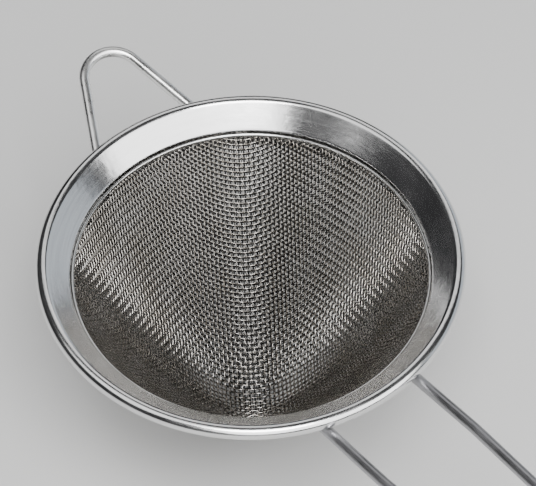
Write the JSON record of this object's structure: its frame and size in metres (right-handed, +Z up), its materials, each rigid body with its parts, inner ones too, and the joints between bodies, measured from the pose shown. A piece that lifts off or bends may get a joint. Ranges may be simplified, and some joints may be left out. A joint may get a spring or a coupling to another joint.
{
  "type": "conical strainer",
  "caption": "Fine conical strainer: a double wire-cloth bowl clamped in a dished brim with a rolled bead, a V-shaped hook to rest it on a vessel, and a twin-wire handle.",
  "frame": {"origin": "centre of the brim, level with the underside of its rolled bead, where the strainer sits on a vessel", "axes": "+Z up out of the bowl, +X along the handle, rest hook on -X"},
  "size_m": [0.2189, 0.076, 0.0747],
  "materials": {
    "brim_steel": "satin polished stainless, fine circular brushing",
    "ring_steel": "satin stainless",
    "cloth_steel": "drawn stainless wire cloth",
    "wire_steel": "polished drawn stainless wire"
  },
  "bodies": {
    "root": {"brim": "brim_steel", "clamp_ring": "ring_steel", "inner_mesh": "cloth_steel", "outer_mesh": "cloth_steel", "rest_hook": "wire_steel", "handle": "wire_steel"}
  },
  "joints": []
}
